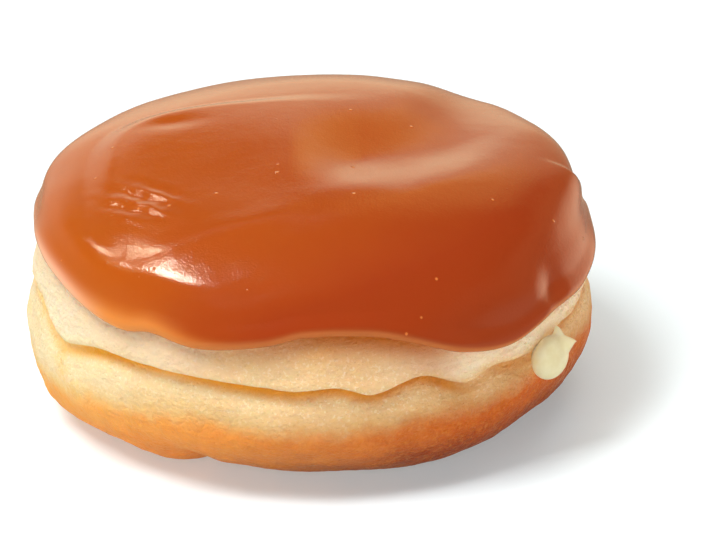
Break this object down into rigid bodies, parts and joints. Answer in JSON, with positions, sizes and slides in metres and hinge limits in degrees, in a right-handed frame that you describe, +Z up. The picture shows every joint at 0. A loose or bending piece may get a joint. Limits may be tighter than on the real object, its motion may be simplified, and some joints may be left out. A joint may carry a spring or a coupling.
{
  "type": "filled maple doughnut",
  "caption": "Round filled doughnut without a hole, glossy maple icing over its top, a crease round its side and a peak of cream at its filling hole.",
  "frame": {"origin": "on the surface it rests on, under the middle of the doughnut", "axes": "+Z up through the crown, -Y towards the front shown in the picture, +X towards the side with the peak of cream"},
  "size_m": [0.0906, 0.0914, 0.0435],
  "materials": {
    "fried dough": "pale cream-yellow crumb-textured band with fine pits, browned crust below and golden recesses in the crease",
    "maple icing": "glossy translucent caramel-brown icing with tiny bubbles, thinner and lighter at its rounded edge",
    "cream filling": "smooth ivory cream with a soft sheen"
  },
  "bodies": {
    "root": {"dough": "fried dough", "icing": "maple icing", "cream": "cream filling"}
  },
  "joints": []
}
